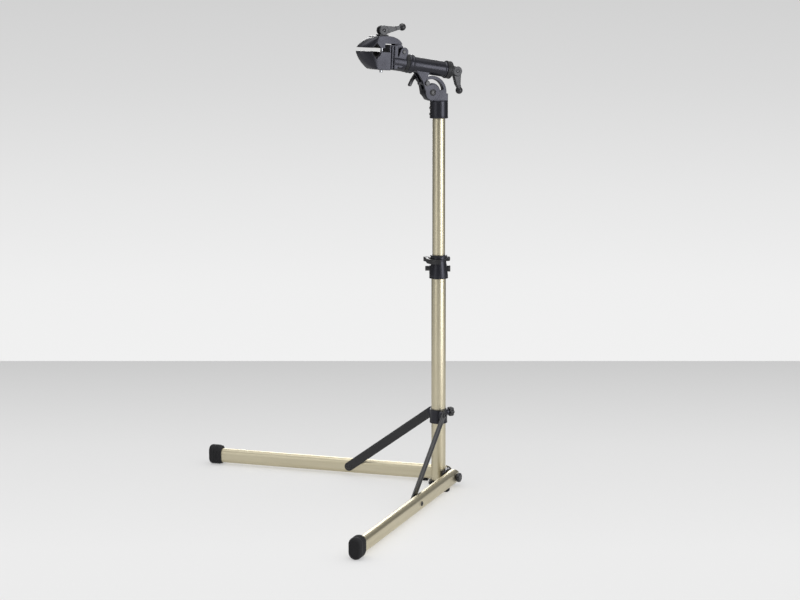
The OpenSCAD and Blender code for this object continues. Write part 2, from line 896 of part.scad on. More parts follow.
module upper_profile() {
    front = -5;
    polygon(concat([[-jaw_nose, split], [notch_x - notch_half, split], [notch_x, notch_up],
        [notch_x + notch_half, split], [-4, split], [-4, underside], [48, underside]],
        arc_points(5, split + 4, 43, jaw_up - split - 4, 18, 90),
        arc_points(front, split + 2, jaw_nose + front, jaw_up - split - 2, 90, 180)));
}

module upper_jaw() {
    color("#5c5c66") jaw_frame() difference() {
        union() {
            intersection() {
                plate(-jaw_w, jaw_w) upper_profile();
                linear_extrude(jaw_up + 2) jaw_plan();
            }
            plate(-hinge_half + gap, hinge_half - gap)
                link([36, 24], 8, [hinge_x, hinge_z], 9.5);
        }
        translate([-rod_slot, -rod_r - 0.6, 0]) cube([rod_slot + rod_r + 0.6, 2 * rod_r + 1.2, 60]);
        translate([-16, -14, seat_z]) cube([31, 28, 20]);
        y_rod(hinge_x, hinge_z, -jaw_w, jaw_w, hinge_r + run);
    }
}

module upper_jaw_pad() {
    pad_half = jaw_w / 2 - 2;
    lip = 2.6;
    color("#1b1b1d") jaw_frame() plate(-pad_half, pad_half)
        polygon([[notch_x - notch_half, split], [notch_x, notch_up], [notch_x + notch_half, split],
            [notch_x + notch_half - lip, split], [notch_x, notch_up - 3.4],
            [notch_x - notch_half + lip, split]]);
}

// ---- clamp: rod and top cam ----

module clamp_rod() {
    color("#8a8b90") jaw_frame() difference() {
        union() {
            translate([0, 0, -rod_tip]) cylinder(r = rod_r, h = rod_tip + top_cam_z - 4);
            plate(-rod_r, rod_r) link([0, top_cam_z - 6], rod_r, [0, top_cam_z], 7);
        }
        y_rod(0, top_cam_z, -20, 20, cam_pin_r - 1);
    }
}

module top_saddle() {
    color("#2a2a2d") jaw_frame() difference() {
        translate([-13, -12, saddle_z]) cube([26, 24, 4]);
        translate([0, 0, saddle_z - 1]) cylinder(r = rod_r + 0.5, h = 10);
        y_rod(0, top_cam_z, -20, 20, cam_r + gap);
    }
}

module top_cam_pin() {
    color("#3a3a3c") jaw_frame() y_rod(0, top_cam_z, -cam_half + 0.5, cam_half - 0.5, cam_pin_r - 1);
}

module top_lever() {
    tip = [57.7, top_cam_z + 11];
    color("#1f1f21") jaw_frame()
        cam_lever([0, top_cam_z], [31, top_cam_z + 5], tip + [-9, -1.5], tip)
            y_rod(0, top_cam_z, -rod_r - gap, rod_r + gap, cam_r + 0.6);
}

// ---- nodes ----

base_bracket();
mast_foot();
lower_mast();
mast_screws();
leg_pivot_bolts();
left_leg();
left_foot_cap();
left_rear_plug();
left_under_foot();
left_pivot_bush();
left_brace_bolt();
right_leg();
right_foot_cap();
right_rear_plug();
right_under_foot();
right_pivot_bush();
right_brace_bolt();
fold_collar();
collar_liner();
ear_bolts();
collar_screw();
collar_knob();
left_brace();
left_brace_rivet();
right_brace();
right_brace_rivet();
height_clamp();
clamp_skewer();
skewer_nut();
pinch_bolt();
height_lever();
mast_bush();
upper_mast();
glide_plug();
head_casting();
socket_screws();
tilt_pin();
arm_casting();
front_bearing();
rear_bearing();
tilt_bolt();
tilt_lever();
clamp_axle();
lower_jaw();
lower_jaw_pad();
jaw_hinge_pin();
barrel_nut();
rear_saddle();
rear_cam_pin();
rear_lever();
upper_jaw();
upper_jaw_pad();
clamp_rod();
top_saddle();
top_cam_pin();
top_lever();
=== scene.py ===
import json
import math

import bpy
import bmesh
from mathutils import Matrix, Vector

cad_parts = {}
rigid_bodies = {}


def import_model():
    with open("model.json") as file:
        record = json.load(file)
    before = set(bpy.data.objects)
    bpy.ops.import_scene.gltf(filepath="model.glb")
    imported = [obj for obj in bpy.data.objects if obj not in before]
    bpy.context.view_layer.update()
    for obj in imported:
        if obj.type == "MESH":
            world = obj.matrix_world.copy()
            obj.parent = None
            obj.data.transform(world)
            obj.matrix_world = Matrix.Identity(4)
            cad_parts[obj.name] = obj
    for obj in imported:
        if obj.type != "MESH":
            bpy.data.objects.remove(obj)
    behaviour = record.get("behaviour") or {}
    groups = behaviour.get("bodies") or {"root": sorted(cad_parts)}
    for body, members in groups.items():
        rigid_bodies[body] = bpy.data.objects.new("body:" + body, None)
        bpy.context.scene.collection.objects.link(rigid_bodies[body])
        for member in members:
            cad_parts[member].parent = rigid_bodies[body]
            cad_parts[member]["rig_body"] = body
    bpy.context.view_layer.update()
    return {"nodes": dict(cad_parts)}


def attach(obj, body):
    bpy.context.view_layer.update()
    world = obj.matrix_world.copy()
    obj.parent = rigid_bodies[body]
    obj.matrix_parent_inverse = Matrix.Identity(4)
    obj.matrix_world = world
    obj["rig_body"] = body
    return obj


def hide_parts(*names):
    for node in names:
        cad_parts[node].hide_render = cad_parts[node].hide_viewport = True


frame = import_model()

MM = 0.001

# ---- frames of the design, in millimetres ----


def shift(x, y, z):
    return Matrix.Translation((x, y, z))


def turn(degrees, axis):
    return Matrix.Rotation(math.radians(degrees), 4, axis)


LEG_SPREAD = 43
ARM_TILT = 9
JAW_CANT = 6.2
CLAMP_TURN = -27
LEFT = turn(180 + LEG_SPREAD, "Z")
RIGHT = Matrix.Scale(-1, 4, (0, 1, 0)) @ LEFT
ROOT = Matrix.Identity(4)
PIVOT = shift(-25, 0, 1104)
ARM = PIVOT @ turn(ARM_TILT, "Y") @ shift(0, 0, 67)
JAW = ARM @ shift(-162.4, 0, 24.7) @ turn(-JAW_CANT, "Y")
CLAMP = turn(CLAMP_TURN, "Z")
SLOT_R = 30.5
BOLT_ANGLE = math.radians(134)
BOLT = (ARM @ shift(SLOT_R * math.cos(BOLT_ANGLE), 0, SLOT_R * math.sin(BOLT_ANGLE) - 67)
        @ turn(-ARM_TILT, "Y"))
ALONG_X = turn(90, "Y")        # a lathe's axis turned to +X
ALONG_Y = turn(-90, "X")       # a lathe's axis turned to +Y
BACK_X = turn(-90, "Y")
BACK_Y = turn(90, "X")


# ---- mesh building ----


class Shape:
    """Vertices and faces gathered in millimetres, in the row frame."""

    def __init__(self):
        self.verts, self.faces = [], []

    def rings(self, rings, place=ROOT, caps=True, wrap=False):
        """Joins closed rings of equal length into a skin."""
        flip = place.to_3x3().determinant() < 0
        start, n = len(self.verts), len(rings[0])
        for ring in rings:
            self.verts += [place @ Vector(p) for p in ring]
        count = len(rings)
        faces = []
        for k in range(count if wrap else count - 1):
            a, b = start + k * n, start + (k + 1) % count * n
            for i in range(n):
                j = (i + 1) % n
                faces.append((a + i, a + j, b + j, b + i))
        if caps and not wrap:
            faces.append(tuple(start + i for i in reversed(range(n))))
            faces.append(tuple(start + (count - 1) * n + i for i in range(n)))
        self.faces += [tuple(reversed(f)) for f in faces] if flip else faces
        return self

    def lathe(self, profile, place=ROOT, seg=96, wrap=False):
        """Turns (radius, height) points about the local Z axis."""
        rings = []
        for r, z in profile:
            r = max(r, 0.02)
            rings.append([(r * math.cos(t), r * math.sin(t), z) for t in angles(seg)])
        return self.rings(rings, place, caps=not wrap, wrap=wrap)

    def mesh(self, name):
        me = bpy.data.meshes.new(name)
        me.from_pydata([v * MM for v in self.verts], [], self.faces)
        me.validate()
        bm = bmesh.new()
        bm.from_mesh(me)
        bmesh.ops.recalc_face_normals(bm, faces=bm.faces)
        bm.to_mesh(me)
        bm.free()
        return me


def angles(seg):
    return [2 * math.pi * i / seg for i in range(seg)]


def rounded(points, radius, closed=False, steps=4):
    """Rounds the corners of a 2-D polyline with short curves."""
    out = []
    n = len(points)
    for i, p in enumerate(points):
        if not closed and i in (0, n - 1):
            out.append(tuple(p))
            continue
        r = p[2] if len(p) > 2 else radius
        v = Vector(p[:2])
        a, b = Vector(points[i - 1][:2]), Vector(points[(i + 1) % n][:2])
        da, db = (a - v).length, (b - v).length
        d = min(r, 0.48 * da, 0.48 * db)
        if d < 1e-4:
            out.append((v.x, v.y))
            continue
        p1, p2 = v + (a - v) / da * d, v + (b - v) / db * d
        for k in range(steps + 1):
            t = k / steps
            q = (1 - t) ** 2 * p1 + 2 * t * (1 - t) * v + t * t * p2
            out.append((q.x, q.y))
    return out


def hex_ring(apothem, z, seg):
    ring = []
    for t in angles(seg):
        r = apothem / math.cos((t + math.pi / 6) % (math.pi / 3) - math.pi / 6)
        ring.append((r * math.cos(t), r * math.sin(t), z))
    return ring


def round_ring(r, z, seg):
    return [(r * math.cos(t), r * math.sin(t), z) for t in angles(seg)]


def socket_head(shape, place, r, h, kind="cap", stem=None, seg=72):
    """Screw head seated at local z = 0 and rising to h, with a hexagon socket."""
    af = 0.42 * r
    if kind == "button":
        side = [(r, 0), (r, 0.18 * h), (0.93 * r, 0.5 * h), (0.8 * r, 0.78 * h), (0.6 * r, 0.97 * h)]
    else:
        side = [(r, 0), (r, h - 0.14 * r), (r - 0.05 * r, h - 0.04 * r), (r - 0.14 * r, h)]
    rings = []
    if stem:
        rings += [round_ring(stem[0] * 0.8, -stem[1], seg), round_ring(stem[0], -stem[1] + 0.5, seg),
                  round_ring(stem[0], 0, seg)]
    rings += [round_ring(a, z, seg) for a, z in side]
    rings += [round_ring(af * 1.22, h, seg), hex_ring(af, h - 0.12 * h, seg), hex_ring(af, 0.42 * h, seg),
              round_ring(af * 0.5, 0.34 * h, seg)]
    shape.rings(rings, place)
    return shape


def hex_head(shape, place, r, h, stem=None, seg=72):
    """Hexagon screw head with a chamfered top and a thin washer face."""
    rings = []
    if stem:
        rings += [round_ring(stem[0] * 0.8, -stem[1], seg), round_ring(stem[0], -stem[1] + 0.5, seg),
                  round_ring(stem[0], 0, seg)]
    flat = 0.84 * r
    rings += [round_ring(r, 0, seg), round_ring(r, 0.16 * h, seg), round_ring(flat * 0.99, 0.2 * h, seg),
              hex_ring(flat * 0.985, 0.22 * h, seg), hex_ring(flat * 0.985, 0.86 * h, seg),
              hex_ring(flat * 0.95, 0.93 * h, seg), round_ring(flat * 0.93, h, seg),
              round_ring(flat * 0.55, h, seg), round_ring(flat * 0.5, 0.95 * h, seg)]
    shape.rings(rings, place)
    return shape


def oval_ring(w, h, cy, cz, x, seg=96):
    """Stadium of width w and height h around (cy, cz), standing at x."""
    r, straight = w / 2, (h - w) / 2
    ring = []
    for t in angles(seg):
        y, z = r * math.cos(t), r * math.sin(t)
        z += straight if math.sin(t) >= 0 else -straight
        ring.append((x, cy + y, cz + z))
    return ring


def evaluated(obj, name):
    """Mesh of an object with its modifiers applied; the object is removed."""
    graph = bpy.context.evaluated_depsgraph_get()
    mesh = bpy.data.meshes.new_from_object(obj.evaluated_get(graph))
    mesh.name = name
    old = obj.data
    bpy.data.objects.remove(obj)
    bpy.data.meshes.remove(old)
    return mesh


def link(name, mesh):
    obj = bpy.data.objects.new(name, mesh)
    bpy.context.scene.collection.objects.link(obj)
    return obj


def cut_by(mesh, cutter, operation="DIFFERENCE"):
    """Takes the cutter shape out of a closed mesh, or keeps only what lies in it."""
    body, tool = link("cut_body", mesh), link("cut_tool", cutter.mesh("cut_tool"))
    mod = body.modifiers.new("cut", "BOOLEAN")
    mod.operation, mod.solver, mod.object = operation, "EXACT", tool
    out = evaluated(body, mesh.name)
    spare = tool.data
    bpy.data.objects.remove(tool)
    bpy.data.meshes.remove(spare)
    return out


def cad_mesh(*nodes):
    """Welded copy of CAD solids, in metres."""
    bm = bmesh.new()
    for n in nodes:
        bm.from_mesh(frame["nodes"][n].data)
    bmesh.ops.remove_doubles(bm, verts=bm.verts, dist=2e-6)
    me = bpy.data.meshes.new(nodes[0] + "_copy")
    bm.to_mesh(me)
    bm.free()
    return me


def moulded(name, mesh, extra=None, cutter=None, within=None, voxel=0.7, rounds=6, keep=0.4):
    """Casts a solid anew: one skin with soft edges, thinned to a fair face count."""
    if within:
        mesh = cut_by(mesh, within, "INTERSECT")
    if extra:
        bm = bmesh.new()
        bm.from_mesh(mesh)
        added = extra.mesh("extra")
        bm.from_mesh(added)
        bm.to_mesh(mesh)
        bm.free()
        bpy.data.meshes.remove(added)
    obj = link(name, mesh)
    remesh = obj.modifiers.new("remesh", "REMESH")
    remesh.mode, remesh.voxel_size = "VOXEL", voxel * MM
    mesh = evaluated(obj, name)
    if cutter:
        mesh = cut_by(mesh, cutter)
    obj = link(name, mesh)
    soft = obj.modifiers.new("soft", "SMOOTH")
    soft.factor, soft.iterations = 0.5, rounds
    thin = obj.modifiers.new("thin", "DECIMATE")
    thin.ratio = keep
    return evaluated(obj, name)


# ---- materials ----


def colour(text):
    """Linear colour of an sRGB hex code."""
    out = []
    for k in (0, 2, 4):
        c = int(text[k:k + 2], 16) / 255
        out.append(c / 12.92 if c <= 0.04045 else ((c + 0.055) / 1.055) ** 2.4)
    return (*out, 1)


class Nodes:
    """Small helper around one material's node tree."""

    def __init__(self, name, roughness, metallic=0.0, specular=0.5):
        self.mat = bpy.data.materials.new(name)
        self.mat.use_nodes = True
        self.tree = self.mat.node_tree
        self.shader = next(n for n in self.tree.nodes if n.type == "BSDF_PRINCIPLED")
        self.shader.inputs["Roughness"].default_value = roughness
        self.shader.inputs["Metallic"].default_value = metallic
        self.shader.inputs["Specular IOR Level"].default_value = specular
        self.place = self.tree.nodes.new("ShaderNodeTexCoord").outputs["Object"]

    def add(self, kind, **inputs):
        node = self.tree.nodes.new(kind)
        for key, value in inputs.items():
            slot = node.inputs[key.replace("_", " ")]
            if isinstance(value, bpy.types.NodeSocket):
                self.tree.links.new(value, slot)
            else:
                slot.default_value = value
        return node

    def mapped(self, scale=(1, 1, 1), rotation=(0, 0, 0)):
        turned = self.add("ShaderNodeMapping", Vector=self.place,
                          Rotation=tuple(math.radians(a) for a in rotation))
        return self.add("ShaderNodeMapping", Vector=turned.outputs[0], Scale=scale).outputs[0]

    def noise(self, scale, detail=3.0, roughness=0.5, vector=None):
        return self.add("ShaderNodeTexNoise", Vector=vector or self.place, Scale=scale,
                        Detail=detail, Roughness=roughness).outputs[0]

    def ramp(self, fac, stops):
        node = self.add("ShaderNodeValToRGB", Fac=fac)
        ramp = node.color_ramp
        while len(ramp.elements) < len(stops):
            ramp.elements.new(0.5)
        for element, (at, value) in zip(ramp.elements, stops):
            element.position = at
            element.color = value if isinstance(value, tuple) else (value, value, value, 1)
        return node.outputs[0]

    def mix(self, fac, a, b, mode="MIX"):
        node = self.tree.nodes.new("ShaderNodeMix")
        node.data_type, node.blend_type = "RGBA", mode
        for index, value in ((0, fac), (6, a), (7, b)):
            if isinstance(value, bpy.types.NodeSocket):
                self.tree.links.new(value, node.inputs[index])
            else:
                node.inputs[index].default_value = value
        return node.outputs[2]

    def maths(self, mode, a, b):
        node = self.tree.nodes.new("ShaderNodeMath")
        node.operation = mode
        for index, value in ((0, a), (1, b)):
            if isinstance(value, bpy.types.NodeSocket):
                self.tree.links.new(value, node.inputs[index])
            else:
                node.inputs[index].default_value = value
        return node.outputs[0]

    def bump(self, height, strength, distance, under=None):
        node = self.add("ShaderNodeBump", Height=height, Strength=strength, Distance=distance)
        if under:
            self.tree.links.new(under, node.inputs["Normal"])
        return node.outputs[0]

    def edges(self):
        """1 along convex outer edges, 0 elsewhere; the materials use it to paint a highlight there."""
        geometry = self.tree.nodes.new("ShaderNodeNewGeometry")
        return self.ramp(geometry.outputs["Pointiness"], [(0.515, 0.0), (0.57, 1.0)])

    def finish(self, base=None, rough=None, normal=None):
        for value, name in ((base, "Base Color"), (rough, "Roughness"), (normal, "Normal")):
            if value is not None:
                self.tree.links.new(value, self.shader.inputs[name])
        return self.mat


def anodised(name, rotation, along):
    """Champagne anodised tube: fine lines drawn along the tube, faint clouds in the colour."""
    n = Nodes(name, 0.3, 1.0)
    fine = [2400, 2400, 2400]
    fine[along] = 6
    lines = n.noise(1.0, 2.0, 0.6, n.mapped(tuple(fine), rotation))
    broad = [90, 90, 90]
    broad[along] = 4
    clouds = n.noise(1.0, 3.0, 0.5, n.mapped(tuple(broad), rotation))
    base = n.ramp(clouds, [(0.3, colour("C8BFA4")), (0.7, colour("D4CCB3"))])
    shade = n.ramp(lines, [(0.25, 0.9), (0.75, 1.0)])
    base = n.mix(1.0, base, shade, "MULTIPLY")
    rough = n.ramp(n.mix(0.5, lines, clouds), [(0.3, 0.34), (0.7, 0.44)])
    return n.finish(base, rough, n.bump(lines, 0.12, 0.00006))


def powder_black():
    """Fine-textured powder coat: pebbled skin, a little dust on it, a painted highlight along its convex edges."""
    n = Nodes("powder_black", 0.34, 0.0, 0.5)
    n.shader.inputs["Specular Tint"].default_value = (0.88, 0.88, 1.0, 1)
    pebble = n.noise(950, 2.0, 0.5)
    fine = n.noise(2600, 2.0, 0.6)
    cloud = n.noise(26, 4.0, 0.6)
    base = n.ramp(cloud, [(0.3, colour("0C0D12")), (0.7, colour("121319"))])
    speck = n.ramp(pebble, [(0.42, 0.82), (0.6, 1.0)])
    base = n.mix(1.0, base, speck, "MULTIPLY")
    # Painted highlight: a lighter bluish colour mixed into the base along convex edges.
    base = n.mix(n.maths("MULTIPLY", n.edges(), 0.3), base, colour("2A2A33"))
    rough = n.ramp(cloud, [(0.3, 0.3), (0.7, 0.4)])
    normal = n.bump(fine, 0.18, 0.00008, n.bump(pebble, 0.42, 0.00022))
    return n.finish(base, rough, normal)


def satin_black(name, low, high, roughness, grain, depth, specular=0.5):
    """Moulded or painted black with a fine skin."""
    n = Nodes(name, roughness, 0.0, specular)
    skin = n.noise(grain, 2.0, 0.55)
    cloud = n.noise(40, 3.0, 0.6)
    base = n.ramp(cloud, [(0.3, colour(low)), (0.7, colour(high))])
    # Painted highlight: a lighter colour mixed into the base along convex edges.
    base = n.mix(n.maths("MULTIPLY", n.edges(), 0.35), base, colour("343438"))
    rough = n.ramp(cloud, [(0.3, roughness - 0.05), (0.7, roughness + 0.07)])
    return n.finish(base, rough, n.bump(skin, 0.35, depth))


def rubber_black():
    """Matte rubber: dull, with moulding grain and a dusty bloom in faint clouds."""
    n = Nodes("rubber_black", 0.74, 0.0, 0.35)
    grain = n.noise(1500, 3.0, 0.6)
    bloom = n.noise(60, 5.0, 0.65)
    base = n.ramp(bloom, [(0.35, colour("151517")), (0.75, colour("1D1D1F"))])
    # Painted highlight: a lighter colour mixed into the base along convex edges.
    base = n.mix(n.maths("MULTIPLY", n.edges(), 0.5), base, colour("29292B"))
    rough = n.ramp(bloom, [(0.3, 0.68), (0.7, 0.82)])
    return n.finish(base, rough, n.bump(grain, 0.4, 0.0001))


def zinc_steel():
    """Bright zinc plate over turned steel."""
    n = Nodes("zinc_steel", 0.28, 1.0)
    turned = n.noise(900, 2.0, 0.5)
    cloud = n.noise(120, 3.0, 0.6)
    base = n.ramp(cloud, [(0.3, colour("A9ABB0")), (0.7, colour("C6C8CC"))])
    rough = n.ramp(turned, [(0.3, 0.22), (0.7, 0.36)])
    return n.finish(base, rough, n.bump(turned, 0.15, 0.00003))


TUBE = anodised("anodised_mast", (0, 0, 0), 2)
TUBE_LEFT = anodised("anodised_left", (0, 0, -(180 + LEG_SPREAD)), 0)
TUBE_RIGHT = anodised("anodised_right", (0, 0, 180 + LEG_SPREAD), 0)
CAST = powder_black()
PAINT = satin_black("painted_steel", "1A1A1C", "212124", 0.4, 700, 0.00006)
SCREW = satin_black("black_oxide", "161618", "1E1E20", 0.34, 1800, 0.00003, 0.6)
LEVER = satin_black("lever_satin", "161618", "1C1C1F", 0.36, 1100, 0.00006, 0.5)
NYLON = satin_black("nylon_matte", "18181A", "1F1F21", 0.52, 1300, 0.00006, 0.4)
RUBBER = rubber_black()
ZINC = zinc_steel()


# ---- pieces ----

SHOWN = []


def adopt(name, mesh, nodes, mat, crease=32):
    """Makes the mesh a piece that rides on its CAD node's body and stands for it."""
    mesh.materials.clear()
    mesh.materials.append(mat)
    mesh.shade_smooth()
    if crease:
        mesh.set_sharp_from_angle(angle=math.radians(crease))
    obj = link(name, mesh)
    nodes = [nodes] if isinstance(nodes, str) else list(nodes)
    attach(obj, frame["nodes"][nodes[0]]["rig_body"])
    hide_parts(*nodes)
    SHOWN.append(obj)
    return obj


# -- mast and base --


def tube(name, node, r, wall, z0, z1):
    edge = 0.5
    profile = rounded([(r, z0), (r, z1), (r - wall, z1), (r - wall, z0)], edge, closed=True)
    shape = Shape().lathe(profile, seg=144, wrap=True)
    return adopt(name, shape.mesh(name), node, TUBE)


tube("lower_tube", "lower_mast", 20, 1.6, 4, 600)
tube("upper_tube", "upper_mast", 17.5, 2, 430, 1072)

foot = Shape().lathe(rounded([(0, 0), (22.2, 0), (23, 0.8), (23, 3.4), (22.2, 4), (18.35, 4), (18.35, 29),
                              (17, 30), (0, 30)], 0.6), seg=96)
adopt("mast_foot_pad", foot.mesh("mast_foot_pad"), "mast_foot", RUBBER)

bracket_trim = Shape()
bracket_trim.lathe(rounded([(21, 4.6), (26.6, 4.6), (26.6, 7.4), (21, 7.4)], 0.5, closed=True), wrap=True)
adopt("base_casting", moulded("base_casting", cad_mesh("base_bracket"), extra=bracket_trim, voxel=0.6,
                              rounds=6, keep=0.3),
      "base_bracket", CAST, 0)

screws = Shape()
for place in (shift(-25.6, 0, 9.5) @ BACK_X, shift(25.6, 0, 35) @ ALONG_X):
    socket_head(screws, place, 4.6, 4, "cap", stem=(3, 7))
adopt("base_screws", screws.mesh("base_screws"), "mast_screws", SCREW)

bolts = Shape()
for side in (LEFT, RIGHT):
    place = side @ shift(-5, 0, 26)
    bolts.lathe(rounded([(0, 21.5), (5, 21.5), (5, 53.3), (10, 53.3, 0.4), (10, 55.3), (12.4, 55.3, 0.6),
                         (13, 56.4, 0.6), (13, 62.4, 1.2), (11.8, 64.6, 1.2), (9.4, 65.3, 0.8), (8.2, 65.3, 0.3),
                         (7.8, 64.6, 0.3), (0, 64.4)], 0.3), place @ ALONG_Y, seg=96)
    for k in range(12):
        grip = place @ ALONG_Y @ turn(30 * k, "Z") @ shift(12.7, 0, 56.6)
        bolts.lathe(rounded([(0, 0), (0.75, 0.3), (0.75, 5.4), (0, 5.8)], 0.3), grip, seg=12)
adopt("leg_bolts", bolts.mesh("leg_bolts"), "leg_pivot_bolts", SCREW)


# -- legs --

LEG_Y, LEG_Z, LEG_W, LEG_H, LEG_WALL = 40, 26, 26, 42, 2
PIVOT_X, TIP_X = -5, 700


def leg_mesh(place, name):
    end_r = LEG_H / 2

    def start(z, inset=0.0):
        return PIVOT_X - math.sqrt(max((end_r - inset) ** 2 - (z - LEG_Z) ** 2, 0.0))

    def skin(inset, bevel):
        ring = oval_ring(LEG_W - 2 * inset, LEG_H - 2 * inset, LEG_Y, LEG_Z, 0, seg=112)
        return [(start(z) + bevel, y, z) for _, y, z in ring]

    wall = LEG_WALL
    rings = [skin(0, 0.35), skin(0.12, 0.1), skin(0.4, 0), skin(wall - 0.3, 0), skin(wall, 0.4)]
    outer = [[(x, y, z) for _, y, z in oval_ring(LEG_W, LEG_H, LEG_Y, LEG_Z, 0, seg=112)]
             for x in (20, 60, 130, 200, 270, 340, 410, 480, 550, 620, 670, TIP_X)]
    inner = [[(x, y, z) for _, y, z in oval_ring(LEG_W - 2 * wall, LEG_H - 2 * wall, LEG_Y, LEG_Z, 0, seg=112)]
             for x in (TIP_X, 620, 340, 60, 20)]
    return Shape().rings(list(reversed(rings[:3])) + outer + inner + list(reversed(rings[3:])),
                         place, wrap=True).mesh(name)


CAP_Z, CAP_BACK = 28.5, 673


def cap_mesh(place, name):
    """Rubber end cap: soft shoulders, three grip grooves and a sunken front face."""
    inner = [(0, 26, 42), (27, 26, 42)]
    stations = [(0.0, 32.2, 52.2), (0.5, 33.0, 53.0), (3.6, 33.4, 53.4), (5.4, 34.6, 54.8), (7.0, 35.8, 56.6),
                (8.5, 36, 57)]
    for k in range(3):
        x = 10.6 + 5.4 * k
        stations += [(x, 36, 57), (x + 0.5, 35.4, 56.4), (x + 0.9, 34.4, 55.4), (x + 1.9, 34.4, 55.4),
                     (x + 2.3, 35.4, 56.4), (x + 2.8, 36, 57)]
    stations += [(29.5, 36, 57), (31.6, 35.6, 56.6), (33.6, 34.6, 55.4), (35.4, 33, 53.6), (36.8, 31.2, 51.6),
                 (37.7, 29, 49.4), (38, 27.6, 48), (38, 23.6, 44), (37.6, 23, 43.4), (36.9, 22.6, 43),
                 (36.7, 21.8, 42.2)]
    rings = []
    for x, w, h in reversed(inner):
        rings.append(oval_ring(w, h, LEG_Y, LEG_Z, CAP_BACK + x))
    for x, w, h in stations:
        cz = max(CAP_Z, h / 2)
        rings.append(oval_ring(w, h, LEG_Y, cz, CAP_BACK + x))
    return Shape().rings(rings, place).mesh(name)


for side, place, tube_mat in (("left", LEFT, TUBE_LEFT), ("right", RIGHT, TUBE_RIGHT)):
    adopt(side + "_leg_tube", leg_mesh(place, side + "_leg_tube"), side + "_leg", tube_mat)
    adopt(side + "_end_cap", cap_mesh(place, side + "_end_cap"), side + "_foot_cap", RUBBER)
    adopt(side + "_tail_plug", moulded(side + "_tail_plug", cad_mesh(side + "_rear_plug"), voxel=0.5, rounds=4,
                                       keep=0.4),
          side + "_rear_plug", RUBBER, 0)
    adopt(side + "_rest_foot", moulded(side + "_rest_foot", cad_mesh(side + "_under_foot"), voxel=0.5, rounds=5,
                                       keep=0.4),
          side + "_under_foot", RUBBER, 0)
    bush = Shape().lathe(rounded([(5.05, 27), (7, 27), (7, 53), (5.05, 53)], 0.3, closed=True),
                         place @ shift(PIVOT_X, 0, LEG_Z) @ ALONG_Y, wrap=True)
    adopt(side + "_bush", bush.mesh(side + "_bush"), side + "_pivot_bush", NYLON)
    foot_bolt = socket_head(Shape(), place @ shift(275, 53, LEG_Z) @ ALONG_Y, 6.5, 3, "button", stem=(4, 26))
    adopt(side + "_foot_bolt", foot_bolt.mesh(side + "_foot_bolt"), side + "_brace_bolt", SCREW)


# -- braces and collar --

EAR = Vector((25, 209))
BRACE_FOOT = Vector((275, 26))
BRACE_Y0, BRACE_Y1, BRACE_R = 22.7, 26.7, 13


def brace_mesh(place, name):
    """Flat bar with round ends, eased edges and a shallow pressed channel along both faces."""
    way = (BRACE_FOOT - EAR).normalized()
    side = Vector((-way.y, way.x))

    def outline(r, trim=0.0):
        pts = []
        for centre, base in ((EAR + way * trim, 90), (BRACE_FOOT - way * trim, -90)):
            for k in range(33):
                a = math.radians(base + 180 * k / 32)
                pts.append(centre + way * (r * math.cos(a)) + side * (r * math.sin(a)))
        return pts

    def ring(r, y, trim=0.0):
        return [(p.x, y, p.y) for p in outline(r, trim)]

    ends = 34
    top = [(BRACE_R - 1.0, BRACE_Y1), (BRACE_R - 0.3, BRACE_Y1 - 0.3), (BRACE_R, BRACE_Y1 - 1.0)]
    low = [(BRACE_R, BRACE_Y0 + 1.0), (BRACE_R - 0.3, BRACE_Y0 + 0.3), (BRACE_R - 1.0, BRACE_Y0)]
    rings = [ring(4.6, BRACE_Y1 - 0.9, ends + 1.4), ring(5.4, BRACE_Y1 - 0.75, ends + 0.8),
             ring(6.4, BRACE_Y1 - 0.1, ends), ring(6.8, BRACE_Y1, ends - 0.4)]
    rings += [ring(r, y) for r, y in top + low]
    rings += [ring(6.8, BRACE_Y0, ends - 0.4), ring(6.4, BRACE_Y0 + 0.1, ends),
              ring(5.4, BRACE_Y0 + 0.75, ends + 0.8), ring(4.6, BRACE_Y0 + 0.9, ends + 1.4)]
    return Shape().rings(rings, place).mesh(name)


for side, place in (("left", LEFT), ("right", RIGHT)):
    adopt(side + "_brace_bar", brace_mesh(place, side + "_brace_bar"), side + "_brace", PAINT)
    rivet = Shape().lathe([(0, -3), (3.4, -3), (5.2, -2.7), (6.6, -1.9), (7.3, -0.9), (7.5, -0.2), (7.5, 0),
                           (4, 0), (4, 4), (0, 4)],
                          place @ shift(275, BRACE_Y0, LEG_Z) @ ALONG_Y, seg=72)
    adopt(side + "_rivet", rivet.mesh(side + "_rivet"), side + "_brace_rivet", PAINT)

collar_trim = Shape()
for z in (183.4, 219.6):
    collar_trim.lathe(rounded([(22, z - 1.3), (25, z - 1.3), (25, z + 1.3), (22, z + 1.3)], 0.5, closed=True),
                      wrap=True)
adopt("collar_casting", moulded("collar_casting", cad_mesh("fold_collar"), extra=collar_trim, voxel=0.6,
                                rounds=6, keep=0.35),
      "fold_collar", CAST, 0)
liner = Shape().lathe(rounded([(20.05, 183), (21.6, 183), (21.6, 220), (20.05, 220)], 0.3, closed=True), wrap=True)
adopt("collar_sleeve", liner.mesh("collar_sleeve"), "collar_liner", NYLON)

ear_bolts = Shape()
for side in (LEFT, RIGHT):
    place = side @ shift(25, 0, 209)
    ear_bolts.lathe(rounded([(0, 14.4), (3.6, 14.4), (4, 14.8), (4, 27), (0, 27)], 0.2), place @ ALONG_Y, seg=48)
    socket_head(ear_bolts, place @ shift(0, 27, 0) @ ALONG_Y, 8, 3, "button")
adopt("ear_bolt_pair", ear_bolts.mesh("ear_bolt_pair"), "ear_bolts", SCREW)


def thread(r, x0, x1, pitch=1.25, depth=0.35):
    """Profile of a threaded length, as ridges along the axis."""
    pts, x = [], x0
    while x < x1 - pitch:
        pts += [(r - depth, x), (r, x + 0.45 * pitch), (r, x + 0.6 * pitch)]
        x += pitch
    return pts + [(r - depth, x1)]


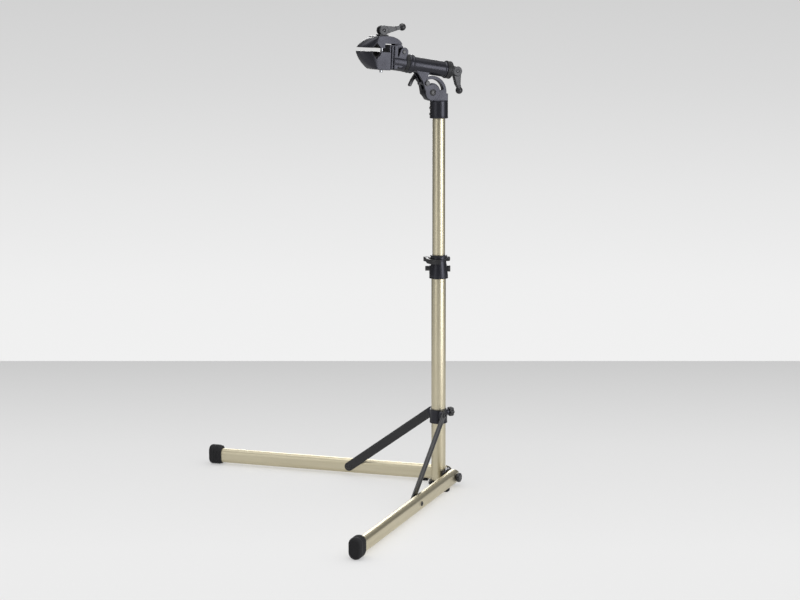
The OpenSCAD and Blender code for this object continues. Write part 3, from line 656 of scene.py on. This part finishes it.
screw = Shape().lathe([(0, 20.5), (3.2, 20.5)] + thread(4, 21, 41.5) + [(3.4, 42), (0, 42)], shift(0, 0, 209) @ ALONG_X,
                      seg=72)
adopt("collar_stud", screw.mesh("collar_stud"), "collar_screw", SCREW)


def knob_mesh(name):
    """Hand knob with six soft finger hollows and a capped centre."""
    def ring(size, z, lobes=1.0, seg=144):
        pts = []
        for t in angles(seg):
            r = 0.871 * size - lobes * 3.0 * (0.5 + 0.5 * math.cos(6 * t)) ** 1.7
            pts.append((r * math.cos(t), r * math.sin(t), z))
        return pts

    rings = [round_ring(4.4, 0.6, 144), round_ring(8.5, 0.6, 144), round_ring(8.9, 0.2, 144), ring(11.4, 0, 0.4),
             ring(13.4, 0.2, 0.7), ring(14.6, 0.8, 0.9), ring(15.2, 1.8), ring(15.45, 3.2), ring(15.45, 10.6),
             ring(15.2, 12.2), ring(14.5, 13.3, 0.95), ring(13.3, 13.9, 0.85), ring(11.8, 14.1, 0.6),
             ring(9.8, 14.0, 0.3), round_ring(8.6, 13.4, 144), round_ring(8.1, 12.9, 144), round_ring(7.3, 12.9, 144),
             round_ring(7.0, 13.1, 144), round_ring(6.9, 14.3, 144), round_ring(6.4, 14.8, 144),
             round_ring(5.2, 15.0, 144), round_ring(2.5, 15.0, 144)]
    return Shape().rings(rings, shift(31, 0, 209) @ ALONG_X).mesh(name)


adopt("collar_hand_knob", knob_mesh("collar_hand_knob"), "collar_knob", LEVER)


# -- height clamp --

clamp_trim = Shape()
for r, z in ((26.2, 593.4), (23.5, 655.4), (23.5, 647.6)):
    clamp_trim.lathe(rounded([(22, z - 1.4), (r, z - 1.4), (r, z + 1.4), (22, z + 1.4)], 0.5, closed=True), CLAMP,
                     wrap=True)
adopt("clamp_casting", moulded("clamp_casting", cad_mesh("height_clamp"), extra=clamp_trim, voxel=0.55, rounds=6,
                               keep=0.3),
      "height_clamp", CAST, 0)
CLAMP_LUG = CLAMP @ shift(0, 33, 0)
SKEWER_Z, PINCH_Z = 640.75, 614.1
skewer = Shape()
skewer.lathe([(0, -34), (2.6, -34), (3, -33.6), (3, 18)] + thread(3, 18.4, 29.4, 1.0, 0.3) + [(2.6, 30), (0, 30)],
             CLAMP_LUG @ shift(0, 0, SKEWER_Z) @ ALONG_X, seg=72)
skewer.lathe(rounded([(0, -7), (3, -7), (3, 7), (0, 7)], 0.4), CLAMP_LUG @ shift(-34, 0, SKEWER_Z), seg=72)
adopt("skewer_rod", skewer.mesh("skewer_rod"), "clamp_skewer", SCREW)

nut = Shape()


def knurled(r, z, lobes, depth, seg=144):
    return [((r - depth * (0.5 + 0.5 * math.cos(lobes * t))) * math.cos(t),
             (r - depth * (0.5 + 0.5 * math.cos(lobes * t))) * math.sin(t), z) for t in angles(seg)]


nut.rings([round_ring(5.6, 18, 144), round_ring(6.1, 18.3, 144), round_ring(6.2, 19.4, 144),
           knurled(6.5, 19.9, 24, 0.5), knurled(6.5, 29.4, 24, 0.5), round_ring(6.1, 30.0, 144),
           round_ring(5.2, 31.2, 144), round_ring(3.6, 31.9, 144), round_ring(1.6, 32.0, 144)],
          CLAMP_LUG @ shift(0, 0, SKEWER_Z) @ ALONG_X)
adopt("skewer_thumb_nut", nut.mesh("skewer_thumb_nut"), "skewer_nut", SCREW)

pinch = Shape()
socket_head(pinch, CLAMP_LUG @ shift(-26, 0, PINCH_Z) @ BACK_X, 7, 11.5, "cap", stem=(3, 48))
block = [(-8, -8.5), (8, -8.5), (8, 8.5), (-8, 8.5)]


def slab_rings(outline, z0, z1, ease):
    """Rings of a block with rounded corners and eased rims, standing along local Z."""
    def ring(inset, z):
        pts = rounded([(x - math.copysign(inset, x), y - math.copysign(inset, y), 1.6) for x, y in outline], 1.6,
                      closed=True)
        return [(x, y, z) for x, y in pts]
    return [ring(ease, z0), ring(0.3 * ease, z0 + 0.3 * ease), ring(0, z0 + ease), ring(0, z1 - ease),
            ring(0.3 * ease, z1 - 0.3 * ease), ring(ease, z1)]


pinch.rings(slab_rings([(y, z) for y, z in block], 0, 11, 0.9),
            CLAMP_LUG @ shift(21.6, 0, PINCH_Z) @ ALONG_X @ turn(90, "Z"))
adopt("pinch_screw", pinch.mesh("pinch_screw"), "pinch_bolt", SCREW)

adopt("height_cam_lever", moulded("height_cam_lever", cad_mesh("height_lever"), voxel=0.5, rounds=10, keep=0.4),
      "height_lever", LEVER, 0)

bush = Shape().lathe(rounded([(18.35, 566), (18.35, 600.3), (19.7, 600.3), (19.7, 602), (17.55, 602), (17.55, 566)],
                             0.25, closed=True), seg=128, wrap=True)
adopt("mast_slide_bush", bush.mesh("mast_slide_bush"), "mast_bush", NYLON)
plug = Shape().lathe(rounded([(0, 418), (17.6, 418), (18.35, 418.8), (18.35, 430), (15.5, 430), (15.5, 444.4),
                              (14.9, 445), (0, 445)], 0.3), seg=96)
adopt("mast_glide", plug.mesh("mast_glide"), "glide_plug", NYLON)


# -- head --

head_trim = Shape()
head_trim.lathe(rounded([(22, 1033.2), (24.5, 1033.2), (25.4, 1034), (25.4, 1037), (24.5, 1037.8), (22, 1037.8)],
                        0.5, closed=True), wrap=True)
adopt("head_body", moulded("head_body", cad_mesh("head_casting"), extra=head_trim, voxel=0.6, rounds=6, keep=0.3),
      "head_casting", CAST, 0)
socket = Shape()
for z in (1045, 1062):
    socket_head(socket, shift(-24.5, 0, z) @ BACK_X, 4, 3, "cap", stem=(2.5, 7))
adopt("head_screws", socket.mesh("head_screws"), "socket_screws", SCREW)

FIN_OUT = 14.3
pin = Shape()
pin.lathe(rounded([(0, -FIN_OUT - 1), (6, -FIN_OUT - 1), (6, FIN_OUT + 1), (0, FIN_OUT + 1)], 0.2), PIVOT @ ALONG_Y,
          seg=72)
for place in (PIVOT @ shift(0, FIN_OUT + 0.3, 0) @ ALONG_Y, PIVOT @ shift(0, -FIN_OUT - 0.3, 0) @ BACK_Y):
    socket_head(pin, place, 9, 2.5, "button")
adopt("tilt_axle", pin.mesh("tilt_axle"), "tilt_pin", SCREW)

ARM_FRONT, ARM_BACK = -67.67, 33.33
arm_trim = Shape()
for x0, x1, r in ((ARM_FRONT - 14.4, ARM_FRONT - 11.4, 25.7), (ARM_FRONT - 4.6, ARM_FRONT - 1.6, 25.7),
                  (ARM_BACK - 5.5, ARM_BACK - 0.2, 22)):
    arm_trim.lathe(rounded([(18.6, x0), (r, x0), (r, x1), (18.6, x1)], 0.8, closed=True), ARM @ ALONG_X, wrap=True)
adopt("arm_body", moulded("arm_body", cad_mesh("arm_casting"), extra=arm_trim, voxel=0.65, rounds=6, keep=0.3),
      "arm_casting", CAST, 0)

front = ARM_FRONT - 26
bearing = Shape().lathe(rounded([(8.05, front), (23.5, front), (24.5, front + 0.8), (24.5, front + 3.2),
                                 (23.6, front + 4.0), (23.6, front + 5.4), (24.5, front + 6.2), (24.5, front + 9.4),
                                 (24, front + 9.9), (18, front + 10), (18, ARM_FRONT), (8.05, ARM_FRONT)], 0.4,
                                closed=True), ARM @ ALONG_X, seg=128, wrap=True)
adopt("front_race", bearing.mesh("front_race"), "front_bearing", NYLON)
back = ARM_BACK
bearing = Shape().lathe(rounded([(8.05, back - 16), (18, back - 16), (18, back), (23.4, back), (24, back + 0.7),
                                 (24, back + 4.4), (23.1, back + 5.2), (23.1, back + 10), (24, back + 10.8),
                                 (24, back + 14.6), (23.0, back + 15.6), (14, back + 15.7), (8.05, back + 15.7)],
                                0.4, closed=True), ARM @ ALONG_X, seg=128, wrap=True)
adopt("rear_race", bearing.mesh("rear_race"), "rear_bearing", NYLON)

bolt = Shape()
hex_head(bolt, BOLT @ shift(0, -FIN_OUT, 0) @ BACK_Y, 7.5, 4.5)
bolt.lathe([(0, -FIN_OUT - 1), (4, -FIN_OUT - 1), (4, 20)] + thread(4, 20.4, 29.4, 1.25) + [(3.5, FIN_OUT + 16),
                                                                                       (0, FIN_OUT + 16)],
           BOLT @ ALONG_Y, seg=72)
adopt("tilt_clamp_bolt", bolt.mesh("tilt_clamp_bolt"), "tilt_bolt", SCREW)


def ball(place, r):
    """Full ball for a lever's end."""
    profile = [(r * math.sin(math.radians(a)), -r * math.cos(math.radians(a))) for a in range(0, 181, 5)]
    return Shape().lathe(profile, place, seg=72)


adopt("tilt_cam_lever", moulded("tilt_cam_lever", cad_mesh("tilt_lever"),
                                extra=ball(BOLT @ shift(15.5, FIN_OUT + 9.8, -39), 7.9), voxel=0.5, rounds=12,
                                keep=0.4),
      "tilt_lever", LEVER, 0)

# -- clamp axle and rear cam --

CAM_S = 68.33        # rear cam pin, measured along the arm
adopt("axle_shaft", moulded("axle_shaft", cad_mesh("clamp_axle"), voxel=0.5, rounds=3, keep=0.4),
      "clamp_axle", ZINC, 40)
adopt("rear_cam_seat", moulded("rear_cam_seat", cad_mesh("rear_saddle"), voxel=0.45, rounds=4, keep=0.4),
      "rear_saddle", PAINT, 0)


def dowel(name, node, place, half, r, mat):
    shape = Shape().lathe([(0, -half), (r - 0.7, -half), (r, -half + 0.7), (r, half - 0.7), (r - 0.7, half),
                           (0.45 * r, half), (0.4 * r, half - 0.5), (0, half - 0.5)], place @ ALONG_Y, seg=72)
    return adopt(name, shape.mesh(name), node, mat)


dowel("rear_dowel", "rear_cam_pin", ARM @ shift(CAM_S, 0, 0), 10.5, 4, SCREW)
adopt("rear_cam_handle", moulded("rear_cam_handle", cad_mesh("rear_lever"),
                                 extra=ball(ARM @ shift(CAM_S + 17, 0, -50.3), 9.9), voxel=0.5, rounds=12, keep=0.4),
      "rear_lever", LEVER, 0)

# -- jaws --

NOSE_LONG, NOSE_SHORT = 50, 6          # reach ahead of the nose's centre, at the split and at the crown
NOSE_STEPS = 80


def nose_envelope(heights, widen=0.0):
    """Solid that trims a jaw's nose to a dome, from its split to its crown."""
    centre, half, wide, back = -24, 31 + widen, 90, 150
    rings = []
    low, high = heights
    for k in range(NOSE_STEPS + 1):
        u = math.sin(math.radians(90 * k / NOSE_STEPS))
        z = low + (high - low) * u
        reach = NOSE_SHORT + (NOSE_LONG - NOSE_SHORT) * (1 - u ** 1.5) ** 0.7
        arc = [(centre + (reach + widen) * math.cos(math.radians(a)), half * math.sin(math.radians(a)), z)
               for a in range(90, 271, 3)]
        rings.append([(centre, wide, z)] + arc + [(centre, -wide, z), (back, -wide, z), (back, wide, z)])
    lift = 60 if high > low else -60
    first = [(x, y, low - lift) for x, y, z in rings[0]]
    last = [(x, y, high + lift) for x, y, z in rings[-1]]
    rings = [first] + rings + [last]
    return Shape().rings(rings if high > low else rings[::-1], JAW)


UPPER_NOSE = (0, 33)
LOWER_NOSE = (-4.7, -52)
adopt("lower_jaw_body", moulded("lower_jaw_body", cad_mesh("lower_jaw"), within=nose_envelope(LOWER_NOSE), voxel=0.6,
                                rounds=6, keep=0.25),
      "lower_jaw", CAST, 0)
adopt("upper_jaw_body", moulded("upper_jaw_body", cad_mesh("upper_jaw"), within=nose_envelope(UPPER_NOSE), voxel=0.55,
                                rounds=6, keep=0.25),
      "upper_jaw", CAST, 0)
adopt("lower_grip_pad", moulded("lower_grip_pad", cad_mesh("lower_jaw_pad"), within=nose_envelope(LOWER_NOSE, -0.6),
                                voxel=0.45, rounds=3, keep=0.35),
      "lower_jaw_pad", RUBBER, 0)
adopt("upper_grip_pad", moulded("upper_grip_pad", cad_mesh("upper_jaw_pad"), within=nose_envelope(UPPER_NOSE, -0.6),
                                voxel=0.45, rounds=3, keep=0.35),
      "upper_jaw_pad", RUBBER, 0)
dowel("jaw_hinge_dowel", "jaw_hinge_pin", JAW @ shift(57, 0, -3), 24, 5, SCREW)
dowel("barrel", "barrel_nut", JAW @ shift(0, 0, -26.5), 14, 8, ZINC)

TOP_CAM_Z = 51.7
rod = moulded("rod_eye", cad_mesh("clamp_rod"), voxel=0.4, rounds=3, keep=0.45)
adopt("clamp_draw_rod", rod, "clamp_rod", ZINC, 40)
adopt("top_cam_seat", moulded("top_cam_seat", cad_mesh("top_saddle"), voxel=0.4, rounds=4, keep=0.4),
      "top_saddle", PAINT, 0)
dowel("top_dowel", "top_cam_pin", JAW @ shift(0, 0, TOP_CAM_Z), 10.5, 3, SCREW)
adopt("top_cam_handle", moulded("top_cam_handle", cad_mesh("top_lever"),
                                extra=ball(JAW @ shift(57.7, 0, TOP_CAM_Z + 11), 9.9), voxel=0.5, rounds=12,
                                keep=0.4),
      "top_lever", LEVER, 0)


# ---- stage, light and camera ----

CAMERA_AT = Vector((-2.2097, -4.3390, 1.3736))
HEADING, PITCH = 26.61, 9.83
ahead = Vector((math.sin(math.radians(HEADING)), math.cos(math.radians(HEADING)), 0))
aside = Vector((ahead.y, -ahead.x, 0))
FLOOR_FAR = 6.58


def floor_plane():
    origin = Vector((CAMERA_AT.x, CAMERA_AT.y, 0))
    near, wide = -4.0, 9.0
    corners = [origin + ahead * a + aside * b for a, b in
               ((near, -wide), (near, wide), (FLOOR_FAR, wide), (FLOOR_FAR, -wide))]
    me = bpy.data.meshes.new("studio_floor")
    me.from_pydata(corners, [], [(0, 1, 2, 3)])
    mat = bpy.data.materials.new("studio_floor")
    mat.use_nodes = True
    tree = mat.node_tree
    shader = next(n for n in tree.nodes if n.type == "BSDF_PRINCIPLED")
    shader.inputs["Roughness"].default_value = 0.9
    shader.inputs["Specular IOR Level"].default_value = 0.1
    coords = tree.nodes.new("ShaderNodeTexCoord")
    dot = tree.nodes.new("ShaderNodeVectorMath")
    dot.operation = "DOT_PRODUCT"
    dot.inputs[1].default_value = ahead
    tree.links.new(coords.outputs["Object"], dot.inputs[0])
    span = tree.nodes.new("ShaderNodeMapRange")
    edge = origin.dot(ahead) + FLOOR_FAR
    span.inputs["From Min"].default_value = edge - 2.3
    span.inputs["From Max"].default_value = edge
    tree.links.new(dot.outputs["Value"], span.inputs["Value"])
    ramp = tree.nodes.new("ShaderNodeValToRGB")
    tree.links.new(span.outputs[0], ramp.inputs["Fac"])
    # Painted shade: the floor's colour darkens from 0.80 to 0.565 over the last 2.3 m toward its far edge, where the
    # studio light falls off.
    stops = [(0.0, 0.80), (0.45, 0.72), (1.0, 0.565)]
    while len(ramp.color_ramp.elements) < len(stops):
        ramp.color_ramp.elements.new(0.5)
    for element, (at, v) in zip(ramp.color_ramp.elements, stops):
        element.position, element.color = at, (v, v, v, 1)
    tree.links.new(ramp.outputs[0], shader.inputs["Base Color"])
    me.materials.append(mat)
    return link("studio_floor", me)


floor = floor_plane()

scene = bpy.context.scene
world = bpy.data.worlds.new("studio")
scene.world = world
world.use_nodes = True
tree = world.node_tree
tree.nodes.clear()
out = tree.nodes.new("ShaderNodeOutputWorld")
coords = tree.nodes.new("ShaderNodeTexCoord")
split = tree.nodes.new("ShaderNodeSeparateXYZ")
tree.links.new(coords.outputs["Generated"], split.inputs[0])


def sky(stops, strength):
    """Background whose brightness changes with height."""
    span = tree.nodes.new("ShaderNodeMapRange")
    span.inputs["From Min"].default_value = -1
    span.inputs["From Max"].default_value = 1
    tree.links.new(split.outputs["Z"], span.inputs["Value"])
    ramp = tree.nodes.new("ShaderNodeValToRGB")
    tree.links.new(span.outputs[0], ramp.inputs["Fac"])
    while len(ramp.color_ramp.elements) < len(stops):
        ramp.color_ramp.elements.new(0.5)
    for element, (z, v) in zip(ramp.color_ramp.elements, stops):
        element.position, element.color = (z + 1) / 2, (v, v, v, 1)
    background = tree.nodes.new("ShaderNodeBackground")
    background.inputs["Strength"].default_value = strength
    tree.links.new(ramp.outputs[0], background.inputs["Color"])
    return background.outputs[0]


seen = sky([(-0.205, 0.88), (-0.16, 0.865), (-0.11, 0.80), (-0.05, 0.70), (0.0, 0.64), (0.3, 0.7)], 1.0)
light = sky([(-0.4, 0.5), (-0.05, 0.22), (0.25, 0.3), (0.6, 0.8), (1.0, 1.5)], 0.58)
path = tree.nodes.new("ShaderNodeLightPath")
mixer = tree.nodes.new("ShaderNodeMixShader")
tree.links.new(path.outputs["Is Camera Ray"], mixer.inputs[0])
tree.links.new(light, mixer.inputs[1])
tree.links.new(seen, mixer.inputs[2])
tree.links.new(mixer.outputs[0], out.inputs["Surface"])

lit = bpy.data.collections.new("lit_object")
for obj in SHOWN:
    lit.objects.link(obj)


def softbox(name, at, target, width, height, power, tint=(1, 1, 1)):
    """Large soft panel that lights the object but leaves no shadow on the floor."""
    data = bpy.data.lights.new(name, "AREA")
    data.shape, data.size, data.size_y = "RECTANGLE", width, height
    data.energy, data.color = power, tint
    obj = bpy.data.objects.new(name, data)
    scene.collection.objects.link(obj)
    obj.location = at
    obj.rotation_euler = (Vector(target) - Vector(at)).to_track_quat("-Z", "Y").to_euler()
    obj.visible_camera = False
    obj.light_linking.receiver_collection = lit
    return obj


softbox("key_right", (1.55, -3.1, 0.85), (0, 0, 0.7), 1.7, 2.6, 76, (0.95, 0.96, 1.0))
softbox("fill_left", (-3.4, -1.2, 1.2), (0, 0, 0.7), 1.2, 2.4, 14)
softbox("top_soft", (-0.3, -0.2, 3.4), (0, 0, 0.5), 2.4, 2.4, 44)
softbox("back_rim", (1.2, 3.2, 1.6), (0, 0, 0.8), 1.8, 2.2, 45)

wash = bpy.data.lights.new("floor_wash", "SUN")
wash.energy = 1.6
washer = bpy.data.objects.new("floor_wash", wash)
scene.collection.objects.link(washer)
only_floor = bpy.data.collections.new("only_floor")
only_floor.objects.link(floor)
washer.light_linking.receiver_collection = only_floor
washer.light_linking.blocker_collection = only_floor

camera = bpy.data.cameras.new("camera")
camera.sensor_width = 36
camera.lens = 80.15
camera.shift_x = -0.0338
camera.shift_y = 0.0
camera.clip_end = 60
eye = bpy.data.objects.new("camera", camera)
scene.collection.objects.link(eye)
eye.location = CAMERA_AT
eye.rotation_euler = (math.radians(90 - PITCH), 0, math.radians(-HEADING))
scene.camera = eye
scene.view_settings.view_transform = "Standard"
